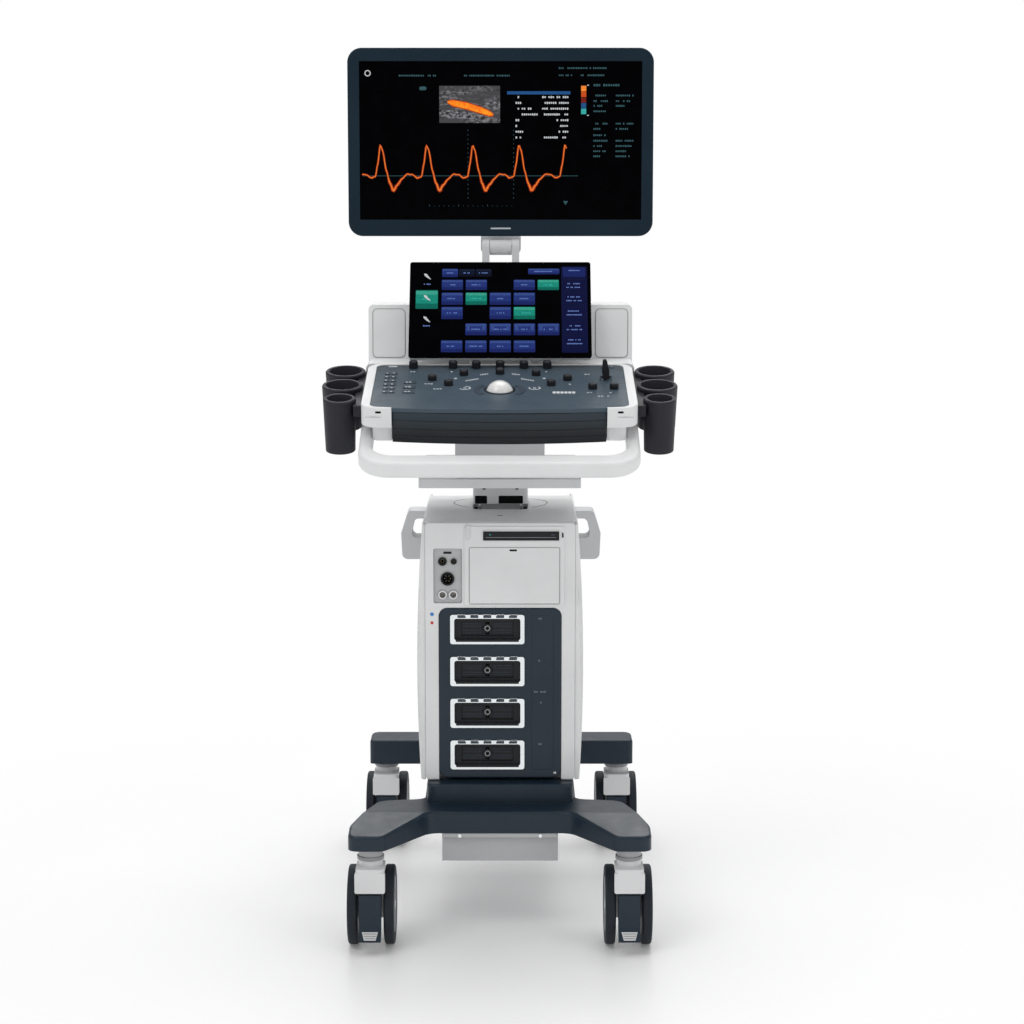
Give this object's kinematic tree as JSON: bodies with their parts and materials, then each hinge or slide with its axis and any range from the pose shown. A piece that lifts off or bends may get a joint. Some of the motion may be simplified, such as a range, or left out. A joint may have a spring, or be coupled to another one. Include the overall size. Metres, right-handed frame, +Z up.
{
  "type": "cart-mounted ultrasound machine",
  "caption": "Wheeled ultrasound scanner: monitor on an arm, touch screen and sloping control console with probe cups, on a lift column and electronics tower.",
  "frame": {"origin": "on the floor, under the middle of the machine's bounding box", "axes": "+Z up, the operator stands at -Y and faces +Y, +X is the operator's right"},
  "size_m": [0.5558, 0.76, 1.4095],
  "materials": {
    "white_plastic": "fine-textured light grey moulding",
    "navy_plastic": "fine-textured dark navy moulding",
    "slate_plastic": "satin blue-grey panel",
    "cup_plastic": "matt charcoal moulding",
    "black_plastic": "matt black moulding",
    "frame_steel": "powder-coated steel",
    "cast_aluminium": "satin light grey casting",
    "socket_metal": "bright nickel-plated shell",
    "tyre_rubber": "dark non-marking tread",
    "screen_glass": "glossy black glass",
    "ball_plastic": "polished white"
  },
  "bodies": {
    "cart": {"base_cover": "navy_plastic", "base_chassis": "frame_steel", "base_pan": "frame_steel", "tower_frame": "frame_steel", "tower_front_cover": "white_plastic", "tower_right_cover": "white_plastic", "tower_left_cover": "white_plastic", "tower_rear_cover": "white_plastic", "tower_top_cover": "white_plastic", "connector_panel": "navy_plastic", "socket_frames": "socket_metal", "socket_inserts": "black_plastic", "physio_module": "white_plastic", "disc_drive": "black_plastic", "electronics_units": "cast_aluminium", "side_hooks": "cast_aluminium", "column_outer": "frame_steel", "base_screws": "socket_metal"},
    "disc_tray": {"disc_tray": "black_plastic"},
    "cooling_fan": {"cooling_fan": "black_plastic"},
    "caster_front_left": {"caster_fork_front_left": "white_plastic"},
    "wheels_front_left": {"caster_wheels_front_left": "tyre_rubber"},
    "pedal_front_left": {"caster_pedal_front_left": "navy_plastic"},
    "caster_front_right": {"caster_fork_front_right": "white_plastic"},
    "wheels_front_right": {"caster_wheels_front_right": "tyre_rubber"},
    "pedal_front_right": {"caster_pedal_front_right": "navy_plastic"},
    "caster_rear_left": {"caster_fork_rear_left": "white_plastic"},
    "wheels_rear_left": {"caster_wheels_rear_left": "tyre_rubber"},
    "pedal_rear_left": {"caster_pedal_rear_left": "navy_plastic"},
    "caster_rear_right": {"caster_fork_rear_right": "white_plastic"},
    "wheels_rear_right": {"caster_wheels_rear_right": "tyre_rubber"},
    "pedal_rear_right": {"caster_pedal_rear_right": "navy_plastic"},
    "lift": {"column_inner": "cast_aluminium", "neck_cover": "white_plastic"},
    "console": {"console_bracket": "cast_aluminium", "console_base": "white_plastic", "console_bezel": "white_plastic", "control_plate": "slate_plastic", "control_keys": "black_plastic", "console_wings": "white_plastic", "front_handle": "white_plastic", "probe_holder_right": "cup_plastic", "probe_holder_left": "cup_plastic"},
    "keyboard": {"keyboard_drawer": "black_plastic", "keyboard_keys": "slate_plastic"},
    "trackball": {"trackball": "ball_plastic"},
    "menu_knob_1": {"menu_knob_1": "black_plastic"},
    "menu_knob_2": {"menu_knob_2": "black_plastic"},
    "menu_knob_3": {"menu_knob_3": "black_plastic"},
    "menu_knob_4": {"menu_knob_4": "black_plastic"},
    "menu_knob_5": {"menu_knob_5": "black_plastic"},
    "menu_knob_6": {"menu_knob_6": "black_plastic"},
    "paddle_lever": {"paddle_lever": "black_plastic"},
    "touch_screen": {"touch_glass": "screen_glass", "touch_housing": "white_plastic"},
    "arm_turret": {"arm_turret": "cast_aluminium"},
    "arm_link": {"arm_link": "cast_aluminium"},
    "monitor_yoke": {"monitor_yoke": "cast_aluminium"},
    "monitor": {"monitor_shell": "navy_plastic", "monitor_screen": "screen_glass"}
  },
  "joints": [
    {"name": "disc_tray_slide", "type": "slide", "parent": "cart", "child": "disc_tray", "axis": [0, -1, 0], "range_m": [0, 0.115]},
    {"name": "fan_spin", "type": "hinge", "parent": "cart", "child": "cooling_fan", "pos_m": [0, 0.2175, 0.48], "axis": [0, 1, 0], "continuous": true},
    {"name": "swivel_front_left", "type": "hinge", "parent": "cart", "child": "caster_front_left", "pos_m": [-0.201, -0.306, 0.16], "axis": [0, 0, 1], "continuous": true},
    {"name": "roll_front_left", "type": "hinge", "parent": "caster_front_left", "child": "wheels_front_left", "pos_m": [-0.201, -0.274, 0.0625], "axis": [1, 0, 0], "continuous": true},
    {"name": "brake_front_left", "type": "hinge", "parent": "caster_front_left", "child": "pedal_front_left", "pos_m": [-0.201, -0.324, 0.088], "axis": [1, 0, 0], "range_deg": [0, 10]},
    {"name": "swivel_front_right", "type": "hinge", "parent": "cart", "child": "caster_front_right", "pos_m": [0.201, -0.306, 0.16], "axis": [0, 0, 1], "continuous": true},
    {"name": "roll_front_right", "type": "hinge", "parent": "caster_front_right", "child": "wheels_front_right", "pos_m": [0.201, -0.274, 0.0625], "axis": [1, 0, 0], "continuous": true},
    {"name": "brake_front_right", "type": "hinge", "parent": "caster_front_right", "child": "pedal_front_right", "pos_m": [0.201, -0.324, 0.088], "axis": [1, 0, 0], "range_deg": [0, 10]},
    {"name": "swivel_rear_left", "type": "hinge", "parent": "cart", "child": "caster_rear_left", "pos_m": [-0.207, 0.2855, 0.16], "axis": [0, 0, 1], "continuous": true},
    {"name": "roll_rear_left", "type": "hinge", "parent": "caster_rear_left", "child": "wheels_rear_left", "pos_m": [-0.207, 0.3175, 0.0625], "axis": [1, 0, 0], "continuous": true},
    {"name": "brake_rear_left", "type": "hinge", "parent": "caster_rear_left", "child": "pedal_rear_left", "pos_m": [-0.207, 0.2675, 0.088], "axis": [1, 0, 0], "range_deg": [0, 10]},
    {"name": "swivel_rear_right", "type": "hinge", "parent": "cart", "child": "caster_rear_right", "pos_m": [0.207, 0.2855, 0.16], "axis": [0, 0, 1], "continuous": true},
    {"name": "roll_rear_right", "type": "hinge", "parent": "caster_rear_right", "child": "wheels_rear_right", "pos_m": [0.207, 0.3175, 0.0625], "axis": [1, 0, 0], "continuous": true},
    {"name": "brake_rear_right", "type": "hinge", "parent": "caster_rear_right", "child": "pedal_rear_right", "pos_m": [0.207, 0.2675, 0.088], "axis": [1, 0, 0], "range_deg": [0, 10]},
    {"name": "lift_slide", "type": "slide", "parent": "cart", "child": "lift", "axis": [0, 0, 1], "range_m": [0, 0.18]},
    {"name": "console_swivel", "type": "hinge", "parent": "lift", "child": "console", "pos_m": [0, 0.025, 0.725], "axis": [0, 0, 1], "range_deg": [-30, 30]},
    {"name": "keyboard_slide", "type": "slide", "parent": "console", "child": "keyboard", "axis": [0, -0.9781, -0.2079], "range_m": [0, 0.13]},
    {"name": "trackball_roll", "type": "hinge", "parent": "console", "child": "trackball", "pos_m": [0, -0.23017, 0.86407], "axis": [1, 0, 0], "continuous": true},
    {"name": "menu_knob_1_turn", "type": "hinge", "parent": "console", "child": "menu_knob_1", "pos_m": [-0.138, -0.11477, 0.89831], "axis": [0, -0.2079, 0.9781], "continuous": true},
    {"name": "menu_knob_2_turn", "type": "hinge", "parent": "console", "child": "menu_knob_2", "pos_m": [-0.075, -0.11477, 0.89831], "axis": [0, -0.2079, 0.9781], "continuous": true},
    {"name": "menu_knob_3_turn", "type": "hinge", "parent": "console", "child": "menu_knob_3", "pos_m": [-0.038, -0.11477, 0.89831], "axis": [0, -0.2079, 0.9781], "continuous": true},
    {"name": "menu_knob_4_turn", "type": "hinge", "parent": "console", "child": "menu_knob_4", "pos_m": [0, -0.11477, 0.89831], "axis": [0, -0.2079, 0.9781], "continuous": true},
    {"name": "menu_knob_5_turn", "type": "hinge", "parent": "console", "child": "menu_knob_5", "pos_m": [0.038, -0.11477, 0.89831], "axis": [0, -0.2079, 0.9781], "continuous": true},
    {"name": "menu_knob_6_turn", "type": "hinge", "parent": "console", "child": "menu_knob_6", "pos_m": [0.075, -0.11477, 0.89831], "axis": [0, -0.2079, 0.9781], "continuous": true},
    {"name": "paddle_tilt", "type": "hinge", "parent": "console", "child": "paddle_lever", "pos_m": [0.166, -0.17963, 0.88606], "axis": [1, 0, 0], "range_deg": [-15, 15]},
    {"name": "touch_tilt", "type": "hinge", "parent": "console", "child": "touch_screen", "pos_m": [0, -0.092, 0.912], "axis": [1, 0, 0], "range_deg": [-8, 11]},
    {"name": "arm_swivel", "type": "hinge", "parent": "console", "child": "arm_turret", "pos_m": [0, 0.12, 0.9], "axis": [0, 0, 1], "range_deg": [-60, 60]},
    {"name": "arm_lift", "type": "hinge", "parent": "arm_turret", "child": "arm_link", "pos_m": [0, 0.12, 0.965], "axis": [1, 0, 0], "range_deg": [-30, 30]},
    {"name": "yoke_level", "type": "hinge", "parent": "arm_link", "child": "monitor_yoke", "pos_m": [0, 0.12, 1.08], "axis": [1, 0, 0], "range_deg": [-30, 30]},
    {"name": "monitor_tilt", "type": "hinge", "parent": "monitor_yoke", "child": "monitor", "pos_m": [0, 0.168, 1.25], "axis": [1, 0, 0], "range_deg": [-20, 5]}
  ],
  "couplings": [
    {"joint": "yoke_level", "follows": "arm_lift", "ratio": -1}
  ]
}
